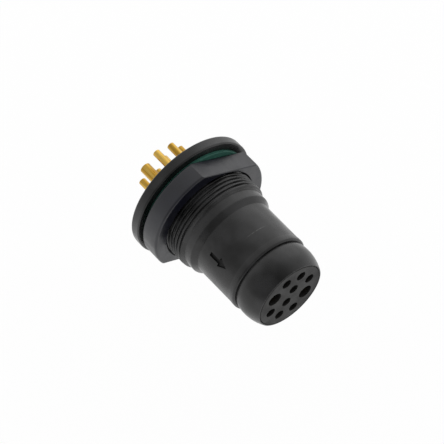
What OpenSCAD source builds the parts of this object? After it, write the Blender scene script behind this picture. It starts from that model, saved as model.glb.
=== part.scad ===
// Panel-mount circular connector: a moulded shell with a rear flange, a threaded neck and a plain
// mating barrel, a two-piece contact block with turned socket contacts, a flat gasket and a round
// panel nut with two wrench flats.
//
// The connector lies as it sits in an upright panel: its axis is horizontal, the nose points to -Y
// and +Z is up. The origin is on the axis, at the gasket face that the panel rests on.
//
// The round sizes follow from the contacts outwards: the contact block goes round the contact
// holes, the shell round the block, and the gasket and the nut round the thread.

/* [Contact block] */
// Diameter of the circle that goes round all contact holes
pattern_d = 11.1; // [10:0.1:14]
// Angle of the line through the power contacts, from +X towards +Z
contact_turn = -31; // [-90:1:90]
// Angle from that line to the nearest signal contacts
signal_angle = 47.5; // [42:0.5:54]
// Width of the front insert outside the contact holes
insert_rim = 1.5; // [1:0.1:2.5]
// Radial clearance between the inserts and the shell
insert_fit = 0.04; // [0.02:0.01:0.1]
// Width of the step in the shell that stops the front insert
shoulder_w = 0.91; // [0.6:0.01:1.2]
// Thickness of the rim on the front insert that meets that step
shoulder_t = 1.5; // [1.2:0.1:2.2]
// Depth of the rear pocket that takes both inserts, from the back of the flange
pocket_depth = 9; // [7.5:0.1:11]
// How far the rear insert lies inside the pocket mouth
rear_recess = 0.4; // [0.1:0.1:1.5]
// Width of the key that stops the inserts from turning
key_w = 1.8; // [1:0.1:2.4]
// Height of that key above the pocket wall
key_h = 0.7; // [0.4:0.1:1]
// Chamfer on the edges of the contact face and the pocket mouth
block_chamfer = 0.15; // [0.05:0.05:0.3]

/* [Signal contacts] */
// Diameter of the mating signal pin
signal_pin_d = 1; // [0.8:0.05:1.2]
// Wall of the signal socket springs
signal_spring_t = 0.21; // [0.15:0.01:0.3]
// Diameter of the signal solder cup
signal_cup_d = 1.5; // [1.2:0.05:1.8]

/* [Power contacts] */
// Diameter of the mating power pin
power_pin_d = 1.6; // [1.4:0.05:1.8]
// Wall of the power socket springs
power_spring_t = 0.36; // [0.25:0.01:0.45]
// Diameter of the power solder cup
power_cup_d = 2.2; // [1.8:0.05:2.6]

/* [All contacts] */
// How far the sockets lie behind the contact face
socket_recess = 1.5; // [0.3:0.1:2]
// Depth of the socket bore
socket_depth = 6; // [4:0.5:9]
// Length of the slot that splits the socket into two springs
slot_l = 5; // [3:0.5:8]
// Width of that slot
slot_w = 0.25; // [0.15:0.05:0.4]
// How far the springs stand clear of the hole wall
spring_relief = 0.09; // [0.06:0.01:0.15]
// Radial clearance between a contact and its hole
contact_fit = 0.03; // [0.02:0.01:0.05]
// How far the locking collar stands out past the hole
collar_h = 0.35; // [0.25:0.05:0.45]
// Length of the locking collar
collar_l = 1; // [0.6:0.1:2]
// Distance from the back of the flange to the solder cup tips
cup_reach = 8.1; // [5:0.1:12]
// Depth of the solder cup
cup_depth = 3.6; // [2.8:0.1:5]
// Wall of the solder cup
cup_wall = 0.2; // [0.15:0.05:0.35]
// Length of the cut that opens the solder cup to the side
scoop_l = 2.4; // [1.2:0.1:2.8]
// Angle of the side that the solder cups open to, from +X towards +Z
scoop_turn = -66; // [-180:1:180]

/* [Barrel] */
// Wall of the mating barrel round the front insert
barrel_wall = 1.41; // [1.2:0.01:2.4]
// Length of the plain barrel between the sealing ridge and the latch bead
barrel_l = 8.72; // [8:0.02:16]
// How much the barrel widens from the latch bead to the sealing ridge, on the radius
barrel_draft = 0.06; // [0:0.01:0.08]
// Height of the latch bead above the barrel
bead_h = 0.07; // [0.04:0.01:0.3]
// Length of the latch bead
bead_l = 1.6; // [1.2:0.1:3]
// Rounding of the front edge of the latch bead
bead_edge = 0.45; // [0.2:0.05:0.45]
// Width of the floor of the latch groove in front of the bead
groove_w = 0.1; // [0.1:0.1:1.5]
// Depth of the latch groove below the barrel
groove_depth = 0.45; // [0.4:0.05:0.7]
// Length of the curve that rises from the groove to the nose
nose_rise = 1.8; // [0.6:0.1:2.4]
// Length of the straight part of the nose
nose_straight = 0.1; // [0.1:0.1:3]
// How far the nose lies below the barrel surface
nose_step = 0.22; // [0.1:0.02:0.36]
// Length of the dome that closes the nose
dome_l = 3.8; // [2.5:0.1:6]
// Width of the shell lip round the contact face
lip_w = 0.22; // [0.18:0.02:0.5]

/* [Alignment arrow] */
// Distance from the latch bead to the tip of the arrow
arrow_gap = 2.2; // [1:0.1:2.5]
// Length of the arrow
arrow_l = 4.4; // [3:0.1:5]
// Width of the arrow head
arrow_w = 2; // [1.4:0.1:2.6]
// Width of the arrow shaft
arrow_shaft = 0.8; // [0.5:0.1:1.2]
// Depth of the arrow below the barrel surface
arrow_depth = 0.3; // [0.15:0.05:0.5]

/* [Thread, ridge and flange] */
// Height of the sealing ridge above the barrel
ridge_h = 0.9; // [0.75:0.05:1.6]
// Length of the sealing ridge, with the taper that leads a sleeve onto it
ridge_l = 2.98; // [2.9:0.02:5]
// Angle between that taper and the axis
ridge_taper = 38; // [32:1:50]
// Rounding where the taper leaves the top of the ridge
ridge_edge = 0.6; // [0.2:0.05:0.65]
// Rounding where the taper meets the barrel
ridge_foot = 0.3; // [0.1:0.05:0.6]
// How far the thread stands above the sealing ridge, which the nut passes over
thread_step = 0.6; // [0.4:0.05:1.2]
// Length of the threaded neck, from the flange
thread_l = 8.5; // [7:0.1:14]
// Distance between the crests of the thread
thread_pitch = 0.85; // [0.7:0.05:1.5]
// Depth of the thread below its crests
thread_depth = 0.4; // [0.2:0.05:0.45]
// Length of the taper that leads off the thread
thread_lead = 0.5; // [0.3:0.1:1.5]
// How far the flange stands out past the thread
flange_w = 3.35; // [2.9:0.05:6]
// Thickness of the flange
flange_t = 2.1; // [1.4:0.1:3]
// Rounding of the flange rim
flange_edge = 0.3; // [0.1:0.1:0.6]

/* [Gasket] */
// Width of the gasket ring
gasket_w = 1.75; // [1.5:0.05:2.8]
// Thickness of the gasket
gasket_t = 0.7; // [0.4:0.1:1.2]
// Rounding of the outer edge of the gasket
gasket_edge = 0.15; // [0.05:0.05:0.2]
// Radial clearance between the gasket and the thread
gasket_fit = 0.05; // [0.02:0.01:0.1]

/* [Panel nut] */
// Wall of the nut between its bore and its round rim
nut_rim = 2.85; // [2.4:0.05:4.5]
// Wall of the nut between its bore and a wrench flat
nut_flat_wall = 0.6; // [0.5:0.05:2]
// Thickness of the nut
nut_t = 4.1; // [2.5:0.1:6]
// Rounding of the outer edges of the nut
nut_edge = 0.45; // [0.1:0.05:0.6]
// Chamfer at both ends of the nut bore
nut_chamfer = 0.3; // [0.1:0.05:0.4]
// Radial clearance between the nut and the thread
nut_fit = 0.05; // [0.02:0.01:0.1]
// Angle of the flats, from +X towards +Z
nut_turn = 62; // [0:1:90]

/* [Hidden] */

$fn = 96;

// Steps in a rounded edge and in the longer curves of the shell
edge_steps = 6;
curve_steps = 12;

// How far a cutting solid runs past the face that it cuts
over = 1;

// Contact holes, wide enough for the springs of the socket to open
signal_hole_d = signal_pin_d + 2 * (signal_spring_t + spring_relief);
power_hole_d = power_pin_d + 2 * (power_spring_t + spring_relief);

// Radii of the contact pattern: four signal contacts stand at equal spacing across the power line
signal_ring_r = (pattern_d - signal_hole_d) / 2;
signal_inner_r = signal_ring_r / 3;
power_ring_r = (pattern_d - power_hole_d) / 2;

// Radii from the contact block outwards
insert_r = pattern_d / 2 + insert_rim;
bore_r = insert_r + insert_fit;
tip_r = bore_r + lip_w;
pocket_r = bore_r + shoulder_w;
barrel_r = bore_r + barrel_wall;
nose_r = barrel_r - nose_step;
ridge_r = barrel_r + ridge_h;
thread_r = ridge_r + thread_step;
flange_r = thread_r + flange_w;

// Stations along the axis, from the gasket face towards the nose
flange_front = -gasket_t;
flange_back = flange_front - flange_t;
thread_end = flange_front + thread_l;
ridge_start = thread_end + thread_lead;
ridge_end = ridge_start + ridge_l;
bead_start = ridge_end + barrel_l;
bead_end = bead_start + bead_l;
nose_start = bead_end + groove_w;
dome_start = nose_start + nose_rise + nose_straight;
face = dome_start + dome_l;
pocket_floor = flange_back + pocket_depth;
insert_joint = pocket_floor - shoulder_t;
rear_face = flange_back + rear_recess;
socket_mouth = face - socket_recess;
cup_tip = flange_back - cup_reach;

// Section of the thread: a narrow crest, flanks that meet at twice their angle, and as many
// rings as fit between the gasket face and the end of the neck
thread_flank = 30;
thread_crest = thread_pitch / 5;
thread_flank_l = thread_depth * tan(thread_flank);
thread_rings = floor(thread_end / thread_pitch);

// Radius where the drafted barrel starts, and the length of the ridge's taper with its roundings
barrel_root_r = barrel_r + barrel_draft;
ridge_run = (ridge_r - barrel_root_r) / tan(ridge_taper)
    + (ridge_edge + ridge_foot) * tan(ridge_taper / 2);

// Arc of the domed nose, tangent to the straight part behind it
dome_drop = nose_r - tip_r;
dome_arc = (dome_l * dome_l + dome_drop * dome_drop) / (2 * dome_drop);
dome_sweep = asin(dome_l / dome_arc);

// Arc of the latch bead, from the barrel to the crest, where the rounding of its front edge starts.
// That rounding is at most as deep as the groove.
bead_round = min(bead_edge, groove_depth);
bead_crest = bead_end - bead_round;
bead_slope = bead_crest - bead_start;
bead_arc = (bead_slope * bead_slope + bead_h * bead_h) / (2 * bead_h);
bead_sweep = asin(bead_slope / bead_arc);

// Arc that rises from the floor of the latch groove, tangent to the straight part of the nose
groove_r = barrel_r - groove_depth;
rise_h = nose_r - groove_r;
rise_arc = (nose_rise * nose_rise + rise_h * rise_h) / (2 * rise_h);
rise_sweep = asin(nose_rise / rise_arc);

// Chamfer inside the shell lip, which leaves half of the lip flat
lip_chamfer = min(block_chamfer, lip_w / 2);

// How far the key bar starts inside the pocket wall, so that it joins the round of its insert
key_root = key_h;

// Angles of the contacts from the power line
power_angles = [0, 180];
inner_angles = [90, 270];
ring_angles = [
    signal_angle, 90, 180 - signal_angle,
    180 + signal_angle, 270, 360 - signal_angle
];

// Each contact as its radius and its angle, six signal contacts in a ring and two inside it
POWER = [for (a = power_angles) [power_ring_r, a]];
SIGNAL = concat(
    [for (a = ring_angles) [signal_ring_r, a]],
    [for (a = inner_angles) [signal_inner_r, a]]
);

// Points on an arc about a centre, from one angle to another
function arc(centre, r, from, to, steps) =
    [for (i = [0:steps])
        let (a = from + (to - from) * i / steps)
        [centre[0] + r * cos(a), centre[1] + r * sin(a)]];

// Points of the thread's grooves, from the flange to the end of the neck
function thread_grooves() =
    [for (i = [thread_rings:-1:1])
        let (
            low = thread_end - i * thread_pitch + thread_crest / 2,
            high = low + thread_pitch - thread_crest
        )
        each [
            [thread_r, low], [thread_r - thread_depth, low + thread_flank_l],
            [thread_r - thread_depth, high - thread_flank_l], [thread_r, high]
        ]];

// Lays a solid that was built along +Z into the panel, nose towards -Y
module in_panel() {
    rotate([90, 0, 0]) children();
}

// Puts a solid at a contact's place in the pattern, without turning it
module at_contact(place) {
    angle = contact_turn + place[1];
    translate([place[0] * cos(angle), place[0] * sin(angle), 0]) children();
}

// Section of the shell: radius against distance along the axis
module shell_section() {
    polygon(concat(
        [[pocket_r + block_chamfer, flange_back]],
        arc([flange_r - flange_edge, flange_back + flange_edge], flange_edge, -90, 0, edge_steps),
        arc([flange_r - flange_edge, flange_front - flange_edge], flange_edge, 0, 90, edge_steps),
        [[thread_r, flange_front]],
        thread_grooves(),
        [[thread_r, thread_end], [ridge_r, ridge_start]],
        arc([ridge_r - ridge_edge, ridge_end - ridge_run], ridge_edge, 0, ridge_taper, edge_steps),
        arc([barrel_root_r + ridge_foot, ridge_end], ridge_foot, 180 + ridge_taper, 180, edge_steps),
        arc([barrel_r + bead_h - bead_arc, bead_crest], bead_arc, -bead_sweep, 0, curve_steps),
        arc([barrel_r + bead_h - bead_round, bead_crest], bead_round, 0, 90, edge_steps),
        [[groove_r, bead_end]],
        arc([nose_r - rise_arc, nose_start + nose_rise], rise_arc, -rise_sweep, 0, edge_steps),
        arc([nose_r - dome_arc, dome_start], dome_arc, 0, dome_sweep, curve_steps),
        [[bore_r + lip_chamfer, face], [bore_r, face - lip_chamfer],
         [bore_r, pocket_floor], [pocket_r, pocket_floor],
         [pocket_r, flange_back + block_chamfer]]
    ));
}

// Outline of the alignment arrow, with its tip at the origin and pointing along +Y
module arrow_outline() {
    polygon([
        [0, 0], [-arrow_w / 2, -arrow_w], [-arrow_shaft / 2, -arrow_w],
        [-arrow_shaft / 2, -arrow_l], [arrow_shaft / 2, -arrow_l],
        [arrow_shaft / 2, -arrow_w], [arrow_w / 2, -arrow_w]
    ]);
}

// Cutter for the arrow, laid on the barrel in line with the second power contact
module arrow_cut() {
    rotate([0, 0, contact_turn + POWER[1][1]])
        translate([barrel_r - arrow_depth, 0, bead_start - arrow_gap])
            rotate([90, 0, 90])
                linear_extrude(arrow_depth + over) arrow_outline();
}

// Bar along the axis that keys the inserts in the shell, in line with the first power contact
module key_bar(width, height, bottom, top) {
    rotate([0, 0, contact_turn])
        translate([pocket_r - key_root, -width / 2, bottom])
            cube([key_root + height, width, top - bottom]);
}

module shell() {
    color("#26262a")
        in_panel()
            difference() {
                rotate_extrude() shell_section();
                arrow_cut();
                key_bar(key_w + 2 * insert_fit, key_h, flange_back - over, pocket_floor);
            }
}

// Hole for one contact in the front insert, with the seat for its collar
module front_hole(hole_d) {
    translate([0, 0, insert_joint - over]) {
        cylinder(h = face - insert_joint + 2 * over, d = hole_d);
        cylinder(h = collar_l + over, d = hole_d + 2 * collar_h);
    }
}

module front_insert() {
    shoulder_r = pocket_r - insert_fit;
    color("#4d4b49")
        in_panel()
            difference() {
                union() {
                    rotate_extrude()
                        polygon([
                            [0, insert_joint], [shoulder_r, insert_joint],
                            [shoulder_r, pocket_floor], [insert_r, pocket_floor],
                            [insert_r, face - block_chamfer], [insert_r - block_chamfer, face],
                            [0, face]
                        ]);
                    key_bar(key_w, key_h - insert_fit, insert_joint, pocket_floor);
                }
                for (place = POWER) at_contact(place) front_hole(power_hole_d);
                for (place = SIGNAL) at_contact(place) front_hole(signal_hole_d);
            }
}

// Hole for one contact tail in the rear insert
module rear_hole(cup_d) {
    translate([0, 0, rear_face - over])
        cylinder(h = insert_joint - rear_face + 2 * over, d = cup_d + 2 * contact_fit);
}

module rear_insert() {
    color("#2f2f33")
        in_panel()
            difference() {
                union() {
                    translate([0, 0, rear_face])
                        cylinder(h = insert_joint - rear_face, r = pocket_r - insert_fit);
                    key_bar(key_w, key_h - insert_fit, rear_face, insert_joint);
                }
                for (place = POWER) at_contact(place) rear_hole(power_cup_d);
                for (place = SIGNAL) at_contact(place) rear_hole(signal_cup_d);
            }
}

// Turned socket contact: split springs at the front, a locking collar and a solder cup
module contact(hole_d, pin_d, cup_d) {
    pin_r = pin_d / 2;
    body_r = hole_d / 2 - contact_fit;
    spring_r = hole_d / 2 - spring_relief;
    collar_r = hole_d / 2 + collar_h - contact_fit;
    cup_r = cup_d / 2;
    wire_r = cup_r - cup_wall;
    collar_top = insert_joint + collar_l;
    slot_end = socket_mouth - slot_l;
    mouth_chamfer = (spring_r - pin_r) / 2;
    color("#d6aa3c")
        difference() {
            rotate_extrude()
                polygon([
                    [0, cup_tip + cup_depth], [wire_r, cup_tip + cup_depth], [wire_r, cup_tip],
                    [cup_r, cup_tip], [cup_r, insert_joint], [collar_r, insert_joint],
                    [collar_r, collar_top], [body_r, collar_top], [body_r, slot_end],
                    [spring_r, slot_end], [spring_r, socket_mouth],
                    [pin_r + mouth_chamfer, socket_mouth], [pin_r, socket_mouth - mouth_chamfer],
                    [pin_r, socket_mouth - socket_depth], [0, socket_mouth - socket_depth]
                ]);
            translate([-hole_d / 2, -slot_w / 2, slot_end]) cube([hole_d, slot_w, slot_l + over]);
            rotate([0, 0, scoop_turn])
                translate([0, -cup_d, cup_tip - over]) cube([cup_d, 2 * cup_d, scoop_l + over]);
        }
}

module power_contact(number) {
    in_panel() at_contact(POWER[number - 1]) contact(power_hole_d, power_pin_d, power_cup_d);
}

module signal_contact(number) {
    in_panel() at_contact(SIGNAL[number - 1]) contact(signal_hole_d, signal_pin_d, signal_cup_d);
}

module gasket() {
    inner_r = thread_r + gasket_fit;
    rim_r = inner_r + gasket_w - gasket_edge;
    color("#1f5a48")
        in_panel()
            rotate_extrude()
                polygon(concat(
                    [[inner_r, flange_front]],
                    arc([rim_r, flange_front + gasket_edge], gasket_edge, -90, 0, edge_steps),
                    arc([rim_r, -gasket_edge], gasket_edge, 0, 90, edge_steps),
                    [[inner_r, 0]]
                ));
}

// Block that cuts one wrench flat on the +X side, as far out as asked
module flat_cut(flat_r, outer_r) {
    translate([flat_r, -outer_r, -over]) cube([outer_r, 2 * outer_r, nut_t + 2 * over]);
}

module panel_nut() {
    bore = thread_r + nut_fit;
    outer_r = bore + nut_rim;
    flat_r = bore + nut_flat_wall;
    color("#3a3a40")
        in_panel()
            rotate([0, 0, nut_turn])
                difference() {
                    rotate_extrude()
                        polygon(concat(
                            [[bore + nut_chamfer, 0]],
                            arc([outer_r - nut_edge, nut_edge], nut_edge, -90, 0, edge_steps),
                            arc([outer_r - nut_edge, nut_t - nut_edge], nut_edge, 0, 90, edge_steps),
                            [[bore + nut_chamfer, nut_t], [bore, nut_t - nut_chamfer],
                             [bore, nut_chamfer]]
                        ));
                    flat_cut(flat_r, outer_r);
                    mirror([1, 0, 0]) flat_cut(flat_r, outer_r);
                }
}

shell();
front_insert();
rear_insert();
gasket();
panel_nut();
power_contact(1);  // power_contact_1
power_contact(2);  // power_contact_2
signal_contact(1);  // signal_contact_1
signal_contact(2);  // signal_contact_2
signal_contact(3);  // signal_contact_3
signal_contact(4);  // signal_contact_4
signal_contact(5);  // signal_contact_5
signal_contact(6);  // signal_contact_6
signal_contact(7);  // signal_contact_7
signal_contact(8);  // signal_contact_8
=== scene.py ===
"""Looks of a panel-mount circular connector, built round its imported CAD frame.

Each sub-assembly is a class that holds its sizes in millimetres, turns its meshes about the
connector's axis and dresses them. The nose points to -Y. A station is the distance along the axis
from the gasket face towards the nose, and an angle runs from +X towards +Z.
"""
import logging
import math
from contextlib import contextmanager
from dataclasses import dataclass
from enum import Enum
from typing import Callable, Iterator, NamedTuple, Sequence

import bmesh
import bpy
import numpy as np
from mathutils import Matrix, Vector


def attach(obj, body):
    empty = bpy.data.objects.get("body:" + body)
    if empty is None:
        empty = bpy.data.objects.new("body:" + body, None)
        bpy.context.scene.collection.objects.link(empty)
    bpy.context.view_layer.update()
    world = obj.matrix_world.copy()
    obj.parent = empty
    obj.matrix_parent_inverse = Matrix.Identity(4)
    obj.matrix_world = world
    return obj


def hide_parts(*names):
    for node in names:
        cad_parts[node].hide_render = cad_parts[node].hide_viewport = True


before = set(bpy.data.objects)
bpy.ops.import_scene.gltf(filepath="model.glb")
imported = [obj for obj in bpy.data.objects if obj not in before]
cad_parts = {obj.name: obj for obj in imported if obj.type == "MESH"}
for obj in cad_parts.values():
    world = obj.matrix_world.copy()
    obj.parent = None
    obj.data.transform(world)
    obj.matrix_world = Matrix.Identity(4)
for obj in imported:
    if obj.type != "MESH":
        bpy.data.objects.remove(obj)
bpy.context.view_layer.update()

LOG = logging.getLogger("connector")
MM = 0.001

# Millimetres: points that are one, slivers, edges that lie on a face, and how far a cutter stands out
SAME_POINT = 1e-5
SLIVER = 0.0005
ON_FACE = 1e-3
OVERCUT = 1.0

# Most of a straight that a rounding and its lead take up, and the lead's length by the rounding's
ROUND_SHARE = 0.42
LEAD_SHARE = 0.48
LEAD_REACH = 1.5

# Steps across an edge break, and the share of its width within which points are joined first
BREAK_STEPS = 3
JOIN_SHARE = 0.3
SMOOTH_ANGLE = math.radians(38)

Pair = tuple[float, float]
Triple = tuple[float, float, float]
Section = list[Pair]
Grid = tuple[np.ndarray, np.ndarray]
Region = Callable[[Vector], bool]
Piece = bpy.types.Object
Socket = bpy.types.NodeSocket
Material = bpy.types.Material
Inputs = dict[str | int, object]


class Body(Enum):
    """The CAD bodies that pieces ride on."""

    CONNECTOR = "connector"
    NUT = "nut"


class Slot(Enum):
    """The record's material slots."""

    SHELL = "shell"
    FRONT_INSERT = "front_insert"
    REAR_INSERT = "rear_insert"
    GASKET = "gasket"
    NUT = "nut"
    CONTACT = "contact"


class Shaping(Enum):
    """How a tool changes a piece."""

    CUT = "DIFFERENCE"
    ADD = "UNION"


class Corner(NamedTuple):
    """A corner of a turned section: its radius and station, and how far it is rounded."""

    radius: float
    station: float
    rounding: float = 0.0


# Turned sections and meshes


def arc(centre: Pair, radius: float, start: float, end: float, steps: int) -> list[Corner]:
    """Lays corners along an arc between two angles, in radians from the way of growing radius."""
    angles = np.linspace(start, end, steps + 1)
    return [Corner(centre[0] + radius * math.cos(a), centre[1] + radius * math.sin(a)) for a in angles]


def swell(top: Pair, run: float, drop: float, steps: int) -> list[Corner]:
    """Lays corners along a shallow arc that is level at its top.

    Args:
        top: Radius and station of the top.
        run: Way along the axis from the top to the other end, below zero if the top comes last.
        drop: How much smaller the radius is at the other end.
        steps: Straight pieces in the arc.

    Returns:
        The corners in the order of their stations.
    """
    size = (run ** 2 + drop ** 2) / (2 * drop)
    sweep = math.asin(run / size)
    return arc((top[0] - size, top[1]), size, min(sweep, 0.0), max(sweep, 0.0), steps)


def rounded(corners: Sequence[Corner], steps: int = 4) -> Section:
    """Rounds the inner corners of an open section, with a short straight lead beside each arc.

    Args:
        corners: The section's corners in order.
        steps: Straight pieces in each arc.

    Returns:
        The points of the rounded section.
    """
    places = [Vector((c.radius, c.station)) for c in corners]
    points: Section = [tuple(places[0])]
    for corner, before, here, after in zip(corners[1:], places, places[1:], places[2:]):
        if corner.rounding <= 0:
            points.append(tuple(here))
            continue
        back, ahead = before - here, after - here
        back_way, ahead_way = back.normalized(), ahead.normalized()
        half = back.angle(ahead) / 2
        reach = min(corner.rounding / math.tan(half), ROUND_SHARE * min(back.length, ahead.length))
        centre = here + (back_way + ahead_way).normalized() * reach / math.cos(half)
        first, last = here + back_way * reach, here + ahead_way * reach
        start = math.atan2(first.y - centre.y, first.x - centre.x)
        sweep = math.atan2(last.y - centre.y, last.x - centre.x) - start
        sweep = (sweep + math.pi) % (2 * math.pi) - math.pi
        size = (first - centre).length
        points.append(tuple(here + back_way * min(LEAD_REACH * reach, LEAD_SHARE * back.length)))
        for i in range(steps + 1):
            a = start + sweep * i / steps
            points.append((centre.x + size * math.cos(a), centre.y + size * math.sin(a)))
        points.append(tuple(here + ahead_way * min(LEAD_REACH * reach, LEAD_SHARE * ahead.length)))
    points.append(tuple(places[-1]))
    return points


def section_rows(section: Section, columns: int) -> Grid:
    """Repeats the points of a section, one to a row, in all columns round the axis."""
    points, ones = np.array(section, float), np.ones(columns)
    return np.outer(points[:, 0], ones), np.outer(points[:, 1], ones)


def stacked(*grids: Grid) -> Grid:
    """Puts the rows of several grids on each other."""
    return tuple(np.vstack(rows) for rows in zip(*grids))


def add_object(name: str, data: bpy.types.ID) -> Piece:
    """Adds an object to the scene.

    Args:
        name: Name of the object.
        data: Its mesh, lamp or camera.

    Returns:
        The object.
    """
    thing = bpy.data.objects.new(name, data)
    bpy.context.scene.collection.objects.link(thing)
    return thing


def discard(thing: Piece) -> None:
    """Removes an object by removing its mesh, which takes the object along."""
    bpy.data.meshes.remove(thing.data)


@contextmanager
def opened(mesh: bpy.types.Mesh) -> Iterator[bmesh.types.BMesh]:
    """Opens a mesh for work on its points and faces, and writes it back.

    Args:
        mesh: The mesh.

    Returns:
        The open mesh, for a with statement.
    """
    work = bmesh.new()
    work.from_mesh(mesh)
    yield work
    work.to_mesh(mesh)
    work.free()


def solid(name: str, points: Sequence[Sequence[float]], faces: Sequence[Sequence[int]]) -> Piece:
    """Makes a mesh whose faces look outwards.

    Args:
        name: Name of the object.
        points: Its points, in millimetres.
        faces: Numbers of the points of each face.

    Returns:
        The object.
    """
    mesh = bpy.data.meshes.new(name)
    mesh.from_pydata(points, [], faces)
    with opened(mesh) as work:
        bmesh.ops.remove_doubles(work, verts=work.verts, dist=SAME_POINT)
        bmesh.ops.recalc_face_normals(work, faces=work.faces)
    return add_object(name, mesh)


def turned_grid(name: str, grid: Grid, closed: bool = False, caps: bool = False) -> Piece:
    """Makes a mesh of rows of points that go round the axis.

    Args:
        name: Name of the object.
        grid: Radius and station of each point, by row and column.
        closed: Whether the last row joins the first.
        caps: Whether the first and last rows are closed by flat faces.

    Returns:
        The object, in millimetres.
    """
    radii, stations = grid
    rows, columns = radii.shape
    angles = np.linspace(0, 2 * math.pi, columns, endpoint=False)
    points = np.stack([radii * np.cos(angles), -stations, radii * np.sin(angles)], axis=-1)
    first = np.arange(rows if closed else rows - 1)[:, None] * columns + np.arange(columns)
    turn = (np.arange(columns) + 1) % columns
    right = first[:, :1] + turn
    above = (first + columns) % (rows * columns)
    faces = np.stack([first, right, above[:, :1] + turn, above], axis=-1).reshape(-1, 4).tolist()
    if caps:
        faces += [list(range(columns)), list(range((rows - 1) * columns, rows * columns))]
    return solid(name, points.reshape(-1, 3).tolist(), faces)


def turned(name: str, section: Section, columns: int, **ends: bool) -> Piece:
    """Turns a section about the axis, closed or with caps as in turned_grid."""
    return turned_grid(name, section_rows(section, columns), **ends)


def prism(name: str, bottom: Sequence[Vector], top: Sequence[Vector]) -> Piece:
    """Makes a solid between two outlines with as many points.

    Args:
        name: Name of the object.
        bottom: Points of the lower outline, in millimetres.
        top: Points of the upper outline.

    Returns:
        The object.
    """
    count = len(bottom)
    faces = [list(range(count)), list(range(count, 2 * count))]
    faces += [[i, (i + 1) % count, count + (i + 1) % count, count + i] for i in range(count)]
    return solid(name, [tuple(p) for p in (*bottom, *top)], faces)


def at(radius: float, across: float, station: float, angle: float) -> Vector:
    """Gives a point by its radius, its offset across that radius, its station and its angle."""
    cos, sin = math.cos(angle), math.sin(angle)
    return Vector((radius * cos - across * sin, -station, radius * sin + across * cos))


def bar(name: str, angle: float, radii: Pair, width: float, ends: Pair) -> Piece:
    """Makes a straight bar along the axis.

    Args:
        name: Name of the object.
        angle: Angle of the bar's middle.
        radii: Radii of its inner and outer faces.
        width: Width across the radius.
        ends: First and last stations.

    Returns:
        The bar, in millimetres.
    """
    inner, outer = radii
    sides = [(inner, -width / 2), (outer, -width / 2), (outer, width / 2), (inner, width / 2)]
    return prism(name, *([at(r, w, end, angle) for r, w in sides] for end in ends))


def settle(piece: Piece) -> None:
    """Applies a piece's modifiers to its mesh.

    Args:
        piece: The piece.
    """
    bpy.context.view_layer.update()
    shape = piece.evaluated_get(bpy.context.evaluated_depsgraph_get())
    mesh = bpy.data.meshes.new_from_object(shape)
    piece.modifiers.clear()
    old = piece.data
    piece.data = mesh
    bpy.data.meshes.remove(old)


def combine(piece: Piece, tools: Sequence[Piece], shaping: Shaping = Shaping.CUT) -> None:
    """Cuts tools that lie apart out of a piece, or adds them, and discards the tools.

    Args:
        piece: The piece that changes.
        tools: The solids that are cut out or added.
        shaping: Which of the two.
    """
    mesh = bpy.data.meshes.new("tools")
    with opened(mesh) as work:
        for tool in tools:
            work.from_mesh(tool.data)
            discard(tool)
    joined = add_object("tools", mesh)
    step = piece.modifiers.new("shape", "BOOLEAN")
    step.operation, step.solver, step.object = shaping.value, "EXACT", joined
    settle(piece)
    discard(joined)


def sharp_edges(work: bmesh.types.BMesh, where: Region, sharp: float) -> list[bmesh.types.BMEdge]:
    """Finds the sharp edges in one region of a mesh.

    Args:
        work: The mesh.
        where: Tells by an edge's middle whether it lies in the region.
        sharp: Least angle between the faces of an edge, in degrees.

    Returns:
        The edges.
    """
    return [edge for edge in work.edges
            if len(edge.link_faces) == 2 and edge.calc_face_angle() > math.radians(sharp)
            and where((edge.verts[0].co + edge.verts[1].co) / 2)]


def break_edges(piece: Piece, width: float, where: Region, sharp: float = 30.0) -> None:
    """Rounds a piece's sharp edges slightly, as a mould or a tool leaves them.

    Points beside these edges that lie much closer than the rounding are joined first, because the
    shortest edge there limits it.

    Args:
        piece: The piece that changes.
        width: Width of the rounding, in millimetres.
        where: Tells by an edge's middle whether it is rounded.
        sharp: Least angle between the faces of an edge that is rounded, in degrees.
    """
    layer = "bevel_weight_edge"
    with opened(piece.data) as work:
        ends = {end for edge in sharp_edges(work, where, sharp) for end in edge.verts}
        near = ends | {point for end in ends for edge in end.link_edges for point in edge.verts}
        work.verts.index_update()
        in_order = sorted(near, key=lambda point: point.index)
        bmesh.ops.remove_doubles(work, verts=in_order, dist=JOIN_SHARE * width)
        bmesh.ops.dissolve_degenerate(work, edges=work.edges, dist=SLIVER)
        weight = work.edges.layers.float.get(layer) or work.edges.layers.float.new(layer)
        for edge in sharp_edges(work, where, sharp):
            edge[weight] = 1.0
    step = piece.modifiers.new("edges", "BEVEL")
    step.limit_method, step.width, step.segments = "WEIGHT", width, BREAK_STEPS
    step.use_clamp_overlap = True
    settle(piece)


def complete(piece: Piece, body: Body, material: Material, node: str) -> None:
    """Clears a piece of slivers, smooths it, scales it to metres, dresses it and ties it to the frame.

    Args:
        piece: The piece, in millimetres.
        body: The CAD body that it rides on.
        material: The finish.
        node: The CAD node that it stands for.
    """
    with opened(piece.data) as work:
        bmesh.ops.remove_doubles(work, verts=work.verts, dist=SLIVER)
        bmesh.ops.dissolve_degenerate(work, edges=work.edges, dist=SLIVER)
    piece.data.shade_smooth()
    piece.data.set_sharp_from_angle(angle=SMOOTH_ANGLE)
    step = piece.modifiers.new("normals", "WEIGHTED_NORMAL")
    step.keep_sharp = True
    settle(piece)
    piece.data.transform(Matrix.Scale(MM, 4))
    piece.data.materials.clear()
    piece.data.materials.append(material)
    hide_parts(node)
    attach(piece, body.value)


# Finishes


class Patches(NamedTuple):
    """A noise: the size of its patches in millimetres, its finer octaves and its stretch by axis."""

    size: float
    detail: float = 2.0
    stretch: Triple = (1.0, 1.0, 1.0)


class Relief(NamedTuple):
    """A relief of the surface: its patches, and its depth in millimetres."""

    patches: Patches
    depth: float


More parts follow.
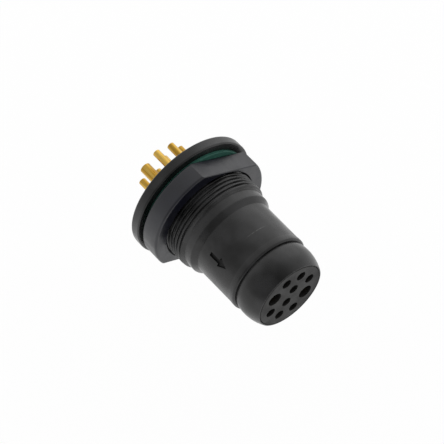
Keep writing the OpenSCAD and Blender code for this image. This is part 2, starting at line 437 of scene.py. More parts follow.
@dataclass
class NodeSheet:
    """A node tree, with short calls to add and join nodes."""

    tree: bpy.types.NodeTree

    def add(self, kind: str, inputs: Inputs | None = None, **settings: object) -> bpy.types.Node:
        """Adds a node.

        Args:
            kind: The node's type.
            inputs: Values and sockets for its inputs, by name or number.
            settings: Values of its properties.

        Returns:
            The node.
        """
        node = self.tree.nodes.new(kind)
        for key, value in settings.items():
            setattr(node, key, value)
        for key, value in (inputs or {}).items():
            self.put(node, key, value)
        return node

    def put(self, node: bpy.types.Node, key: str | int, value: object) -> None:
        """Sets an input of a node, or joins a socket to it.

        Args:
            node: The node.
            key: Name or number of the input.
            value: The value or the socket.
        """
        if isinstance(value, Socket):
            self.tree.links.new(value, node.inputs[key])
        else:
            node.inputs[key].default_value = value

    def place(self) -> Socket:
        """Gives the point on the piece, in metres in the CAD frame."""
        return self.add("ShaderNodeTexCoord").outputs["Object"]

    def noise(self, patches: Patches) -> Socket:
        """Adds a noise.

        Args:
            patches: Its measures.

        Returns:
            The noise's value.
        """
        size, detail, stretch = patches
        spot = self.add("ShaderNodeMapping", {"Vector": self.place(), "Scale": stretch})
        inputs = {"Vector": spot.outputs[0], "Scale": 1 / (size * MM), "Detail": detail}
        return self.add("ShaderNodeTexNoise", inputs).outputs[0]

    def spread(
            self, value: Socket, results: Pair, span: Pair = (0.3, 0.7), soft: bool = True) -> Socket:
        """Maps a value to a range.

        Args:
            value: The value, such as a noise.
            results: What it becomes at both ends of the span, and beyond them.
            span: The values at the ends.
            soft: Whether it changes softly at the ends.

        Returns:
            The mapped value.
        """
        keys = ("Value", "From Min", "From Max", "To Min", "To Max")
        inputs = dict(zip(keys, (value, *span, *results)))
        kind = "SMOOTHSTEP" if soft else "LINEAR"
        return self.add("ShaderNodeMapRange", inputs, interpolation_type=kind).outputs[0]

    def math(self, operation: str, first: object, second: object = 0.0) -> Socket:
        """Works a value out of one or two others."""
        return self.add("ShaderNodeMath", {0: first, 1: second}, operation=operation).outputs[0]

    def tint(self, share: Socket, low: object, high: object) -> Socket:
        """Mixes two colours or sockets by the share of the second, from 0 to 1."""
        first, second = (c if isinstance(c, Socket) else (*c, 1.0) for c in (low, high))
        return self.add("ShaderNodeMix", {0: share, 6: first, 7: second}, data_type="RGBA").outputs[2]

    def bumps(self, reliefs: Sequence[Relief]) -> Socket:
        """Adds reliefs that lie on each other.

        Args:
            reliefs: The reliefs, from the lowest.

        Returns:
            The normal.
        """
        under: Inputs = {}
        for patches, depth in reliefs:
            inputs = {"Height": self.noise(patches), "Distance": depth * MM, "Strength": 1.0, **under}
            under = {"Normal": self.add("ShaderNodeBump", inputs).outputs[0]}
        return under["Normal"]


class ShaderSheet(NodeSheet):
    """The node tree of a new material."""

    def __init__(self, name: str) -> None:
        """Starts a material with an empty node tree.

        Args:
            name: Name of the material.
        """
        self.material = bpy.data.materials.new(name)
        self.material.use_nodes = True
        super().__init__(self.material.node_tree)
        self.tree.nodes.clear()

    def surface(self, shader: bpy.types.Node) -> Material:
        """Puts a shader on the surface and gives the material."""
        self.add("ShaderNodeOutputMaterial", {"Surface": shader.outputs[0]})
        return self.material


Mask = Callable[[ShaderSheet], Socket]


@dataclass(frozen=True)
class Finish:
    """A finish whose colour, gloss and relief vary over the surface."""

    name: str
    colours: tuple[Triple, Triple]
    roughness: Pair
    specular: float
    clouds: Patches
    smudges: Patches
    reliefs: tuple[Relief, ...]
    cloud_span: Pair = (0.3, 0.7)
    metallic: float = 0.0
    rubbed: Triple = (0.07, 0.07, 0.07)

    def material(self, rub: Mask | None = None) -> Material:
        """Builds the material.

        Args:
            rub: Adds nodes that give where the surface is rubbed lighter, from 0 to 1.

        Returns:
            The material.
        """
        sheet = ShaderSheet(self.name)
        share = sheet.spread(sheet.noise(self.clouds), (0.0, 1.0), self.cloud_span)
        colour = sheet.tint(share, *self.colours)
        if rub is not None:
            colour = sheet.tint(rub(sheet), colour, self.rubbed)
        return sheet.surface(sheet.add("ShaderNodeBsdfPrincipled", {
            "Base Color": colour, "Metallic": self.metallic, "Specular IOR Level": self.specular,
            "Roughness": sheet.spread(sheet.noise(self.smudges), self.roughness),
            "Normal": sheet.bumps(self.reliefs)}))


WAVES = Patches(4.0, 1.0)
GRAIN = Relief(Patches(0.14), 0.006)


@dataclass(frozen=True)
class MouldedPlastic(Finish):
    """A moulded plastic with soft clouds, long smudges, flat waves and a fine grain."""

    clouds: Patches = Patches(5.0)
    smudges: Patches = Patches(2.6, 4.0, (1.0, 0.6, 1.0))
    reliefs: tuple[Relief, ...] = (Relief(WAVES, 0.004), GRAIN)


@dataclass(frozen=True)
class GasketRubber(Finish):
    """A dull rubber with pores and a little bloom."""

    name: str = "green_gasket_rubber"
    colours: tuple[Triple, Triple] = ((0.009, 0.06, 0.042), (0.02, 0.085, 0.065))
    roughness: Pair = (0.54, 0.72)
    specular: float = 0.3
    clouds: Patches = Patches(1.8, 4.0)
    smudges: Patches = Patches(0.9, 3.0)
    reliefs: tuple[Relief, ...] = (Relief(Patches(0.12, 4.0), 0.008),)


@dataclass(frozen=True)
class GoldPlating(Finish):
    """Gold plating over turned brass, with drawn streaks along the contact and fine tool rings."""

    name: str = "gold_plating"
    colours: tuple[Triple, Triple] = ((0.71, 0.46, 0.105), (0.44, 0.25, 0.036))
    roughness: Pair = (0.21, 0.29)
    specular: float = 0.5
    clouds: Patches = Patches(0.7, 2.0, (1.0, 0.07, 1.0))
    cloud_span: Pair = (0.36, 0.62)
    smudges: Patches = Patches(1.2)
    reliefs: tuple[Relief, ...] = (Relief(Patches(0.12, 1.0, (0.02, 1.0, 0.02)), 0.0004),)
    metallic: float = 1.0


SHELL_PLASTIC = MouldedPlastic(
    "black_shell_plastic", ((0.00015, 0.00015, 0.000156), (0.01485, 0.01485, 0.015444)),
    roughness=(0.24, 0.38), specular=0.46, reliefs=(Relief(WAVES, 0.02), GRAIN))
# Painted shade: a darker, duller plastic on the arrow's sunk faces that stands in for the shade in its
# recess
ARROW_SHADE_PLASTIC = MouldedPlastic(
    "arrow_painted_shade_plastic", ((0.003, 0.003, 0.003), (0.005, 0.005, 0.005)),
    roughness=(0.48, 0.62), specular=0.28)
INSERT_PLASTIC = MouldedPlastic(
    "black_insert_plastic", ((0.00375, 0.003525, 0.003375), (0.00625, 0.005875, 0.005625)),
    roughness=(0.43, 0.57), specular=0.28)
REAR_PLASTIC = MouldedPlastic(
    "rear_insert_plastic", ((0.0045, 0.0045, 0.0045), (0.0075, 0.0075, 0.0075)),
    roughness=(0.39, 0.53), specular=0.4)
NUT_PLASTIC = MouldedPlastic(
    "black_nut_plastic", ((0.00225, 0.00255, 0.006), (0.00375, 0.00425, 0.01)),
    roughness=(0.29, 0.43), specular=0.66)


# Sub-assemblies


@dataclass(frozen=True)
class Layout:
    """Sizes that the sub-assemblies share, in millimetres."""

    contact_turn: float = math.radians(-31)
    flange_back: float = -2.8
    flange_front: float = -0.7
    thread_r: float = 10.0
    pitch: float = 0.85
    crest_phase: float = 0.78
    thread_crest: float = 0.17
    thread_flank_l: float = 0.231
    bore_r: float = 7.09
    pocket_r: float = 8.0
    pocket_floor: float = 6.2
    insert_joint: float = 4.7
    rear_face: float = -2.4
    face: float = 27.4
    insert_fit: float = 0.04
    key_w: float = 1.8
    key_h: float = 0.7
    collar_h: float = 0.35
    collar_l: float = 1.0
    contact_fit: float = 0.03

    def thread_form(self, station: np.ndarray, columns: int) -> np.ndarray:
        """Gives how deep the right-hand thread lies below its crest, as a share of its depth.

        Args:
            station: Stations of the rows.
            columns: Columns round the axis.

        Returns:
            The share, from 0 on the crest to 1 at the root, by row and column.
        """
        turn = np.arange(columns) / columns
        phase = station[:, None] / self.pitch - turn[None, :] - self.crest_phase
        off = np.abs((phase + 0.5) % 1.0 - 0.5) * self.pitch
        flank = np.clip((off - self.thread_crest / 2) / self.thread_flank_l, 0.0, 1.0)
        return flank * flank * (3 - 2 * flank)


@dataclass
class SubAssembly:
    """A group of pieces that are built and dressed together."""

    layout: Layout

    def build(self) -> list[Piece]:
        """Builds and dresses the pieces."""
        raise NotImplementedError


@dataclass
class Shell(SubAssembly):
    """The moulded shell: flange, threaded neck, sealing ridge, barrel and domed nose."""

    columns: int = 224
    flange_r: float = 13.35
    flange_edge: float = 0.3
    flange_steps: int = 6
    mouth_chamfer: float = 0.15
    mouth_edge: float = 0.04
    slot_rest: float = 0.02
    thread_gap: float = 0.1
    thread_runout: float = 1.2
    thread_end: float = 7.8
    thread_depth: float = 0.4
    thread_rows_per_turn: int = 12
    ridge_start: float = 8.3
    ridge_step: float = 0.02
    ridge_end: float = 11.28
    ridge_r: float = 9.4
    ridge_taper: float = math.radians(38)
    ridge_edge: float = 0.6
    ridge_foot: float = 0.3
    arc_steps: int = 8
    barrel_r: float = 8.5
    barrel_draft: float = 0.06
    barrel_span: Pair = (0.06, 0.94)
    barrel_rows: int = 9
    bead_start: float = 20.0
    bead_end: float = 21.6
    bead_h: float = 0.07
    bead_edge: float = 0.45
    bead_steps: int = 12
    groove_depth: float = 0.45
    nose_start: float = 21.7
    nose_rise: float = 1.8
    nose_steps: int = 10
    nose_r: float = 8.28
    dome_start: float = 23.6
    dome_steps: int = 24
    lip_w: float = 0.22
    lip_chamfer: float = 0.11
    lip_edge: float = 0.05
    lip_inner_edge: float = 0.03
    lip_steps: int = 5
    arrow_tip: float = 17.8
    arrow_l: float = 4.4
    arrow_w: float = 2.0
    arrow_shaft: float = 0.8
    arrow_depth: float = 0.3
    arrow_edge: float = 0.06
    arrow_zone: float = 0.6
    arrow_sunk: float = 0.04
    arrow_facing: float = -0.5
    rub_station: float = 16.9
    rub_edges: Pair = (0.03, 0.1)
    rub_angle: float = math.radians(86)
    rub_ends: Pair = (0.14, 0.34)
    rub_patches: Patches = Patches(0.6)
    rub_least: float = 0.2

    @property
    def arrow_angle(self) -> float:
        """Gives the angle of the arrow, in line with the second power contact."""
        return self.layout.contact_turn + math.pi

    @property
    def arrow_spot(self) -> Vector:
        """Gives the middle of the arrow."""
        return at(self.barrel_r, 0.0, self.arrow_tip - self.arrow_l / 2, self.arrow_angle)

    def rear_section(self) -> Section:
        """Lays out the section from the pocket floor round the flange to the neck.

        Returns:
            The points of the section.
        """
        lay = self.layout
        return rounded([
            Corner(lay.pocket_r, lay.pocket_floor),
            Corner(lay.pocket_r, lay.flange_back + self.mouth_chamfer, self.mouth_edge),
            Corner(lay.pocket_r + self.mouth_chamfer, lay.flange_back, self.mouth_edge),
            Corner(self.flange_r, lay.flange_back, self.flange_edge),
            Corner(self.flange_r, lay.flange_front, self.flange_edge),
            Corner(lay.thread_r, lay.flange_front),
        ], self.flange_steps)

    def ridge_front(self, barrel_top: float) -> list[Corner]:
        """Lays out the rounded shoulder of the ridge and its foot on the barrel.

        Args:
            barrel_top: Radius of the barrel at the foot.

        Returns:
            The corners from the ridge to the barrel.
        """
        run = (self.ridge_r - barrel_top) / math.tan(self.ridge_taper)
        run += (self.ridge_edge + self.ridge_foot) * math.tan(self.ridge_taper / 2)
        shoulder = (self.ridge_r - self.ridge_edge, self.ridge_end - run)
        foot = (barrel_top + self.ridge_foot, self.ridge_end)
        return [*arc(shoulder, self.ridge_edge, 0, self.ridge_taper, self.arc_steps),
                *arc(foot, self.ridge_foot, math.pi + self.ridge_taper, math.pi, self.arc_steps)]

    def front_section(self) -> Section:
        """Lays out the section from the ridge over the barrel and nose back to the pocket floor.

        Returns:
            The points of the section.
        """
        lay = self.layout
        barrel_top = self.barrel_r + self.barrel_draft
        barrel_l = self.bead_start - self.ridge_end
        barrel = [
            Corner(barrel_top + (self.barrel_r - barrel_top) * t, self.ridge_end + barrel_l * t)
            for t in np.linspace(*self.barrel_span, self.barrel_rows)]
        crest_r, crest = self.barrel_r + self.bead_h, self.bead_end - self.bead_edge
        bead = swell((crest_r, crest), self.bead_start - crest, self.bead_h, self.bead_steps)
        bead_front = arc(
            (crest_r - self.bead_edge, crest), self.bead_edge, 0, math.pi / 2, self.arc_steps)
        floor_r, tip_r = self.barrel_r - self.groove_depth, lay.bore_r + self.lip_w
        crown_top = (self.nose_r, self.nose_start + self.nose_rise)
        crown = swell(crown_top, -self.nose_rise, self.nose_r - floor_r, self.nose_steps)
        dome_l = lay.face - self.dome_start
        dome = swell((self.nose_r, self.dome_start), dome_l, self.nose_r - tip_r, self.dome_steps)
        return rounded([
            Corner(self.ridge_r, self.ridge_start + self.ridge_step),
            *self.ridge_front(barrel_top),
            *barrel,
            *bead,
            *bead_front[1:],
            Corner(floor_r, self.bead_end),
            *crown,
            *dome[:-1],
            Corner(tip_r, lay.face, self.lip_edge),
            Corner(lay.bore_r + self.lip_chamfer, lay.face, self.lip_inner_edge),
            Corner(lay.bore_r, lay.face - self.lip_chamfer, self.lip_inner_edge),
            Corner(lay.bore_r, lay.pocket_floor),
        ], self.lip_steps)

    def thread_rows(self) -> Grid:
        """Lays out the rows of the threaded neck.

        Returns:
            The radii and the stations, by row and column.
        """
        lay = self.layout
        start = lay.flange_front + self.thread_gap
        count = int((self.ridge_start - start) / lay.pitch * self.thread_rows_per_turn)
        station = np.linspace(start, self.ridge_start, count)
        runout = np.clip((station - start) / self.thread_runout, 0.0, 1.0)
        depth = self.thread_depth * runout[:, None] * lay.thread_form(station, self.columns)
        share = np.clip((station - self.thread_end) / (self.ridge_start - self.thread_end), 0.0, 1.0)
        lead = lay.thread_r - (lay.thread_r - self.ridge_r) * share
        radii = np.minimum(lay.thread_r - depth, lead[:, None])
        return np.maximum(radii, self.ridge_r), np.outer(station, np.ones(self.columns))

    def arrow(self) -> Piece:
        """Makes the cutter for the arrow.

        Returns:
            The cutter, in millimetres.
        """
        half, shaft = self.arrow_w / 2, self.arrow_shaft / 2
        outline = [(0, 0), (-half, -self.arrow_w), (-shaft, -self.arrow_w), (-shaft, -self.arrow_l),
                   (shaft, -self.arrow_l), (shaft, -self.arrow_w), (half, -self.arrow_w)]
        depths = self.barrel_r - self.arrow_depth, self.barrel_r + OVERCUT
        return prism("arrow_cutter", *(
            [at(r, u, self.arrow_tip + v, self.arrow_angle) for u, v in outline] for r in depths))

    def rubbed(self, sheet: ShaderSheet) -> Socket:
        """Adds the nodes of a short rub mark that runs round the barrel.

        Args:
            sheet: The shell's material.

        Returns:
            Where the surface is rubbed, from 0 to 1.
        """
        parts = sheet.add("ShaderNodeSeparateXYZ", {"Vector": sheet.place()})
        off = sheet.math("ABSOLUTE", sheet.math("ADD", parts.outputs["Y"], self.rub_station * MM))
        line = sheet.spread(off, (1.0, 0.0), tuple(edge * MM for edge in self.rub_edges))
        angle = sheet.math("ARCTAN2", parts.outputs["Z"], parts.outputs["X"])
        away = sheet.math("ABSOLUTE", sheet.math("SUBTRACT", angle, self.rub_angle))
        reach = sheet.spread(away, (1.0, 0.0), self.rub_ends)
        broken = sheet.spread(sheet.noise(self.rub_patches), (self.rub_least, 1.0))
        return sheet.math("MULTIPLY", sheet.math("MULTIPLY", line, reach), broken)

    def paint_arrow_shade(self, piece: Piece) -> None:
        """Gives the sunk faces of the arrow a darker, duller finish, which is painted shade in the
        recess.

        Args:
            piece: The finished shell, in metres.
        """
        angle, spot = self.arrow_angle, self.arrow_spot * MM
        piece.data.materials.append(ARROW_SHADE_PLASTIC.material())
        for face in piece.data.polygons:
            sunk = math.hypot(face.center.x, face.center.z) < (self.barrel_r - self.arrow_sunk) * MM
            facing = face.normal.x * math.cos(angle) + face.normal.z * math.sin(angle)
            near = (face.center - spot).length < self.arrow_zone * self.arrow_l * MM
            if sunk and near and facing > self.arrow_facing:
                face.material_index = 1

    def build(self) -> list[Piece]:
        """Builds and dresses the shell.

        Returns:
            The finished piece.
        """
        lay = self.layout
        rear = section_rows(self.rear_section(), self.columns)
        front = section_rows(self.front_section(), self.columns)
        piece = turned_grid("moulded_shell", stacked(rear, self.thread_rows(), front), closed=True)
        radii = lay.pocket_r - lay.key_h, lay.pocket_r + lay.key_h
        ends = lay.flange_back - OVERCUT, lay.pocket_floor - self.slot_rest
        slot = bar("key_slot", lay.contact_turn, radii, lay.key_w + 2 * lay.insert_fit, ends)
        combine(piece, [self.arrow(), slot])
        spot, zone = self.arrow_spot, self.arrow_l * self.arrow_zone
        break_edges(piece, self.arrow_edge, lambda p: (p - spot).length < zone)
        complete(piece, Body.CONNECTOR, SHELL_PLASTIC.material(self.rubbed), "shell")
        # Paints shade on the arrow's sunk faces
        self.paint_arrow_shade(piece)
        return [piece]


@dataclass(frozen=True)
class ContactKind:
    """The sizes of one kind of contact, and the radii and angles at which its contacts stand."""

    label: str
    hole_r: float
    pin_r: float
    cup_r: float
    places: tuple[Pair, ...]

    def spots(self, turn: float) -> list[Vector]:
        """Gives the contacts' offsets from the axis, with their pattern turned by an angle."""
        return [at(radius, 0.0, 0.0, turn + math.radians(angle)) for radius, angle in self.places]


POWER_R = 4.3
SIGNAL_R = 4.75
POWER = ContactKind(
    "power", hole_r=1.25, pin_r=0.8, cup_r=1.1, places=((POWER_R, 0), (POWER_R, 180)))
SIGNAL = ContactKind("signal", hole_r=0.8, pin_r=0.5, cup_r=0.75, places=(
    *((SIGNAL_R, angle) for angle in (47.5, 90, 132.5, 227.5, 270, 312.5)),
    *((SIGNAL_R / 3, angle) for angle in (90, 270))))
KINDS = (POWER, SIGNAL)
Hole = Callable[[ContactKind], Section]


@dataclass
class ContactBlock(SubAssembly):
    """The front and rear inserts that hold the contacts."""

    columns: int = 128
    hole_columns: int = 48
    insert_r: float = 7.05
    face_chamfer: float = 0.15
    face_edge: float = 0.04
    lead_in_w: float = 0.2
    lead_in_l: float = 1.0
    hole_edge: float = 0.03

    def front_hole(self, kind: ContactKind) -> Section:
        """Lays out a hole in the front insert, with the seat for the collar and a slim lead-in.

        Args:
            kind: The kind of contact.

        Returns:
            The points of the hole's section.
        """
        lay = self.layout
        seat_r, seat_end = kind.hole_r + lay.collar_h, lay.insert_joint + lay.collar_l
        mouth_r = kind.hole_r + self.lead_in_w
        return [
            (seat_r, lay.insert_joint - OVERCUT), (seat_r, seat_end), (kind.hole_r, seat_end),
            (kind.hole_r, lay.face - self.lead_in_l), (mouth_r, lay.face),
            (mouth_r, lay.face + OVERCUT)]

    def rear_hole(self, kind: ContactKind) -> Section:
        """Lays out a hole in the rear insert for one kind of contact."""
        lay, radius = self.layout, kind.cup_r + self.layout.contact_fit
        return [(radius, lay.rear_face - OVERCUT), (radius, lay.insert_joint + OVERCUT)]

    def finish(self, piece: Piece, ends: Pair, hole: Hole, face: float) -> None:
        """Adds an insert's key, drills its holes and breaks their edges on its face.

        Args:
            piece: The insert, which changes.
            ends: First and last stations of the key.
            hole: Gives the section of a hole by the kind of contact.
            face: Station of the face.
        """
        lay = self.layout
        radii = lay.pocket_r - lay.key_h, lay.pocket_r + lay.key_h - lay.insert_fit
        combine(piece, [bar("key", lay.contact_turn, radii, lay.key_w, ends)], Shaping.ADD)
        drills = []
        for kind in KINDS:
            for spot in kind.spots(lay.contact_turn):
                drills.append(turned("drill", hole(kind), self.hole_columns, caps=True))
                drills[-1].data.transform(Matrix.Translation(spot))
        combine(piece, drills)
        break_edges(piece, self.hole_edge, lambda p: abs(p.y + face) < ON_FACE)

    def build(self) -> list[Piece]:
        """Builds and dresses the front and rear inserts.

        Returns:
            The two finished pieces.
        """
        lay = self.layout
        pocket_r = lay.pocket_r - lay.insert_fit
        section = rounded([
            Corner(pocket_r, lay.insert_joint),
            Corner(pocket_r, lay.pocket_floor),
            Corner(self.insert_r, lay.pocket_floor),
            Corner(self.insert_r, lay.face - self.face_chamfer, self.face_edge),
            Corner(self.insert_r - self.face_chamfer, lay.face),
        ])
        front = turned("contact_face", section, self.columns, caps=True)
        self.finish(front, (lay.insert_joint, lay.pocket_floor), self.front_hole, lay.face)
        complete(front, Body.CONNECTOR, INSERT_PLASTIC.material(), "front_insert")
        ends = lay.rear_face, lay.insert_joint
        rear = turned("rear_block", [(pocket_r, end) for end in ends], self.columns, caps=True)
        self.finish(rear, ends, self.rear_hole, lay.rear_face)
        complete(rear, Body.CONNECTOR, REAR_PLASTIC.material(), "rear_insert")
        return [front, rear]


@dataclass
class Contacts(SubAssembly):
    """The turned socket contacts with their solder cups."""

    columns: int = 48
    socket_mouth: float = 25.9
    socket_depth: float = 6.0
    socket_tip: float = 0.2
    slot_l: float = 5.0
    slot_w: float = 0.25
    slot_reach: float = 1.2
    spring_relief: float = 0.09
    mouth_edges: Pair = (0.03, 0.02)
    cup_tip: float = -10.9
    cup_depth: float = 3.6
    cup_cone: float = 0.1
    cup_fillet: float = 0.15
    cup_wall: float = 0.2
    scoop_l: float = 2.4
    scoop_turn: float = math.radians(-66)
    edge: float = 0.05
    edge_steps: int = 3
    cut_edge: float = 0.03
    cut_angle: float = 50.0
    cut_zones: Pair = (0.05, 0.2)

    @property
    def slot_end(self) -> float:
        """Gives the station where the slot of the socket ends."""
        return self.socket_mouth - self.slot_l

    @property
    def scoop_end(self) -> float:
        """Gives the station where the opening of the cup ends."""
        return self.cup_tip + self.scoop_l

    def section(self, kind: ContactKind) -> Section:
        """Lays out the section of a contact from the bottom of its cup to the bottom of its socket.

        Args:
            kind: The kind of contact.

        Returns:
            The points of the section.
        """
        lay = self.layout
        body_r = kind.hole_r - lay.contact_fit
        spring_r = kind.hole_r - self.spring_relief
        collar_r = kind.hole_r + lay.collar_h - lay.contact_fit
        wire_r = kind.cup_r - self.cup_wall
        chamfer = (spring_r - kind.pin_r) / 2
        cup_floor = self.cup_tip + self.cup_depth
        collar_end = lay.insert_joint + lay.collar_l
        mouth, (outer_edge, inner_edge) = self.socket_mouth, self.mouth_edges
        floor = mouth - self.socket_depth
        return rounded([
            Corner(0.0, cup_floor + self.cup_cone), Corner(wire_r, cup_floor, self.cup_fillet),
            Corner(wire_r, self.cup_tip, self.edge), Corner(kind.cup_r, self.cup_tip, self.edge),
            Corner(kind.cup_r, lay.insert_joint), Corner(collar_r, lay.insert_joint, self.edge),
            Corner(collar_r, collar_end, self.edge), Corner(body_r, collar_end),
            Corner(body_r, self.slot_end), Corner(spring_r, self.slot_end),
            Corner(spring_r, mouth, outer_edge), Corner(kind.pin_r + chamfer, mouth, inner_edge),
            Corner(kind.pin_r, mouth - chamfer), Corner(kind.pin_r, floor),
            Corner(0.0, floor - self.socket_tip),
        ], self.edge_steps)

    def build_kind(self, kind: ContactKind, finish: Material) -> list[Piece]:
        """Builds one contact, with its slot and the opening of its cup, and dresses its copies.

        Args:
            kind: The kind of contact.
            finish: The plating.

        Returns:
            The finished pieces.
        """
        reach, width = self.slot_reach * kind.hole_r, 4 * kind.cup_r
        slit_ends = self.slot_end, self.socket_mouth + OVERCUT
        scoop_ends = self.cup_tip - OVERCUT, self.scoop_end
        model = turned("contact_model", self.section(kind), self.columns)
        combine(model, [
            bar("slit", 0.0, (-reach, reach), self.slot_w, slit_ends),
            bar("scoop", self.scoop_turn, (0.0, width / 2), width, scoop_ends)])
        cup_end, socket_start = self.scoop_end + self.cut_zones[0], self.slot_end + self.cut_zones[1]
        break_edges(
            model, self.cut_edge, lambda p: -p.y < cup_end or -p.y > socket_start, self.cut_angle)
        pieces = []
        for number, spot in enumerate(kind.spots(self.layout.contact_turn), start=1):
            piece = add_object(f"gold_{kind.label}_{number}", model.data.copy())
            piece.data.transform(Matrix.Translation(spot))
            complete(piece, Body.CONNECTOR, finish, f"{kind.label}_contact_{number}")
            pieces.append(piece)
        discard(model)
        return pieces

    def build(self) -> list[Piece]:
        """Builds and dresses all contacts."""
        finish = GoldPlating().material()
        return [piece for kind in KINDS for piece in self.build_kind(kind, finish)]


@dataclass
class Gasket(SubAssembly):
    """The flat ring between the flange and the panel."""

    columns: int = 192
    inner_r: float = 10.05
    inner_edge: float = 0.05
    outer_r: float = 11.8
    edge: float = 0.15

    def build(self) -> list[Piece]:
        """Builds and dresses the gasket.

        Returns:
            The finished piece.
        """
        back = self.layout.flange_front
        middle_r = (self.inner_r + self.outer_r) / 2
        section = rounded([
            Corner(middle_r, back),
            Corner(self.outer_r, back, self.edge), Corner(self.outer_r, 0.0, self.edge),
            Corner(self.inner_r, 0.0, self.inner_edge), Corner(self.inner_r, back, self.inner_edge),
            Corner(middle_r, back),
        ])[:-1]
        piece = turned("green_gasket", section, self.columns, closed=True)
        complete(piece, Body.CONNECTOR, GasketRubber().material(), "gasket")
        return [piece]


@dataclass
class PanelNut(SubAssembly):
    """The round nut with two wrench flats and a threaded bore."""

    columns: int = 224
    bore_r: float = 10.05
    outer_r: float = 12.9
    thickness: float = 4.1
    edge: float = 0.45
    edge_steps: int = 6
    chamfer: float = 0.3
    turn: float = math.radians(62)
    flat_r: float = 10.65
    flat_edge: float = 0.2
    flat_steps: int = 5
    corner_edge: float = 0.08
    corner_angle: float = 22.0
    corner_zone: float = 0.2
    thread_depth: float = 0.26
    thread_rows: int = 54
    thread_fade: float = 0.4

    def bore_rows(self) -> Grid:
        """Lays out the rows of the bore from the front to the back, with grooves cut outwards.

        Returns:
            The radii and the stations, by row and column.
        """
        station = np.linspace(self.thickness - self.chamfer, self.chamfer, self.thread_rows)
        inside = np.minimum(station - self.chamfer, self.thickness - self.chamfer - station)
        fade = np.clip(inside / self.thread_fade, 0.0, 1.0)
        groove = 1.0 - self.layout.thread_form(station, self.columns)
        radii = self.bore_r + self.thread_depth * fade[:, None] * groove
        return radii, np.outer(station, np.ones(self.columns))

    def flat_cutter(self, angle: float) -> Piece:
        """Makes the cutter for one wrench flat, which rounds the flat against both faces.

        Args:
            angle: Angle of the flat.

        Returns:
            The cutter, in millimetres.
        """
        low, far, edge = self.flat_r - self.flat_edge, 2 * self.outer_r, self.flat_edge
        back = arc((low, edge), edge, -math.pi / 2, 0, self.flat_steps)
        front = arc((low, self.thickness - edge), edge, 0, math.pi / 2, self.flat_steps)
        behind, ahead = -OVERCUT, self.thickness + OVERCUT
        outline = [Corner(far, behind), Corner(low, behind), *back,
                   *front, Corner(low, ahead), Corner(far, ahead)]
        sides = [[at(c.radius, side * far, c.station, angle) for c in outline] for side in (-1, 1)]
        return prism("flat_cutter", *sides)

    def build(self) -> list[Piece]:
        """Builds and dresses the nut.

        Returns:
            The finished piece.
        """
        mouth = self.bore_r + self.chamfer
        rim = rounded([
            Corner(mouth, 0.0), Corner(self.outer_r, 0.0, self.edge),
            Corner(self.outer_r, self.thickness, self.edge), Corner(mouth, self.thickness),
        ], self.edge_steps)
        grid = stacked(section_rows(rim, self.columns), self.bore_rows())
        piece = turned_grid("round_panel_nut", grid, closed=True)
        combine(piece, [self.flat_cutter(self.turn + side) for side in (0.0, math.pi)])
        inner = self.flat_r + self.corner_zone
        break_edges(piece, self.corner_edge, lambda p: math.hypot(p.x, p.z) > inner, self.corner_angle)
        complete(piece, Body.NUT, NUT_PLASTIC.material(), "panel_nut")
        return [piece]


# Studio


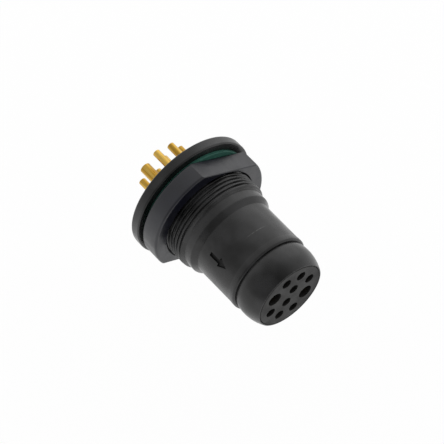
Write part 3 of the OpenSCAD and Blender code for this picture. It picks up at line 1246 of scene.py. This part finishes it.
@dataclass
class Studio:
    """The camera, the pale floor and the soft light round the connector, in metres."""

    eye: Triple = (-0.124187, -0.160356, 0.281777)
    forward: Triple = (0.36265, 0.44581, -0.81837)
    right: Triple = (0.7769, -0.62962, 0.00129)
    lens: float = 149.008
    sensor: float = 36.0
    clip: Pair = (0.01, 50.0)
    floor_drop: float = 0.06
    floor_size: float = 6.0
    floor_colour: Triple = (0.94, 0.94, 0.94)
    floor_white: float = 0.85
    ambient: float = 1.0
    dark_side: Triple = (-0.62, -0.5, 0.6)
    dark_level: float = 0.26
    dark_edges: Pair = (0.87, 0.05)
    lamp_place: Triple = (0.56, 0.31, 0.28)
    lamp_target: Triple = (0.0, -0.008, 0.0)
    lamp_size: float = 0.6
    lamp_power: float = 0.35

    def camera(self) -> None:
        """Adds the camera at the photograph's viewing angle."""
        lens = bpy.data.cameras.new("camera")
        lens.sensor_width, lens.lens = self.sensor, self.lens
        lens.clip_start, lens.clip_end = self.clip
        camera = add_object("camera", lens)
        ahead, side = Vector(self.forward).normalized(), Vector(self.right).normalized()
        turn = Matrix((side, side.cross(ahead), -ahead)).transposed().to_4x4()
        camera.matrix_world = Matrix.Translation(Vector(self.eye)) @ turn
        bpy.context.scene.camera = camera

    @staticmethod
    def seen(sheet: NodeSheet) -> Socket:
        """Adds nodes that tell a ray that shows the backdrop from one that lights the object.

        Args:
            sheet: The nodes of the world or a material.

        Returns:
            1 for camera, glossy and transmission rays and 0 for the others.
        """
        path = sheet.add("ShaderNodeLightPath").outputs
        shown = sheet.math("MAXIMUM", path["Is Camera Ray"], path["Is Glossy Ray"])
        return sheet.math("MAXIMUM", shown, path["Is Transmission Ray"])

    def world(self) -> None:
        """Sets a white room, darker on the camera's side, which the black plastic mirrors."""
        world = bpy.data.worlds.new("studio")
        bpy.context.scene.world = world
        world.use_nodes = True
        sheet = NodeSheet(world.node_tree)
        place = sheet.add("ShaderNodeTexCoord").outputs["Generated"]
        side = Vector(self.dark_side).normalized()
        facing = sheet.add("ShaderNodeVectorMath", {0: place, 1: side}, operation="DOT_PRODUCT")
        levels = self.dark_level, 1.0
        wall = sheet.spread(facing.outputs["Value"], levels, self.dark_edges, soft=False)
        mix = sheet.add("ShaderNodeMix", {0: self.seen(sheet), 2: self.ambient, 3: wall})
        back = sheet.tree.nodes["Background"]
        sheet.put(back, "Color", (1.0, 1.0, 1.0, 1.0))
        sheet.put(back, "Strength", mix.outputs[0])

    def floor(self) -> None:
        """Adds the floor, which shows white and keeps a faint shadow."""
        half = self.floor_size / 2
        mesh = bpy.data.meshes.new("floor")
        signs = ((-1, -1), (1, -1), (1, 1), (-1, 1))
        corners = [(x * half, y * half, -self.floor_drop) for x, y in signs]
        mesh.from_pydata(corners, [], [(0, 1, 2, 3)])
        sheet = ShaderSheet("pale_floor")
        paper = sheet.add("ShaderNodeBsdfDiffuse", {"Color": (*self.floor_colour, 1.0)})
        white = sheet.add("ShaderNodeEmission", {"Color": (1.0, 1.0, 1.0, 1.0), "Strength": 1.0})
        share = sheet.math("MULTIPLY", self.seen(sheet), self.floor_white)
        mix = sheet.add("ShaderNodeMixShader", {0: share, 1: paper.outputs[0], 2: white.outputs[0]})
        mesh.materials.append(sheet.surface(mix))
        floor = add_object("floor", mesh)

    def lamp(self) -> None:
        """Adds the square soft lamp, which points at the connector."""
        light = bpy.data.lights.new("key_softbox", "AREA")
        light.shape, light.size, light.energy = "SQUARE", self.lamp_size, self.lamp_power
        box = add_object("key_softbox", light)
        box.location = self.lamp_place
        way = Vector(self.lamp_target) - box.location
        box.rotation_euler = way.to_track_quat("-Z", "Y").to_euler()

    def build(self) -> None:
        """Builds the whole studio."""
        bpy.context.scene.view_settings.view_transform = "Standard"
        self.camera()
        self.world()
        self.floor()
        self.lamp()


def main() -> None:
    """Builds the studio and every sub-assembly in order, and reports each piece."""
    logging.basicConfig(level=logging.INFO, format="%(name)s: %(message)s")
    Studio().build()
    layout = Layout()
    for group in (Shell, ContactBlock, Contacts, Gasket, PanelNut):
        for piece in group(layout).build():
            LOG.info("%s: %d faces", piece.name, len(piece.data.polygons))


if __name__ == "__main__":
    main()
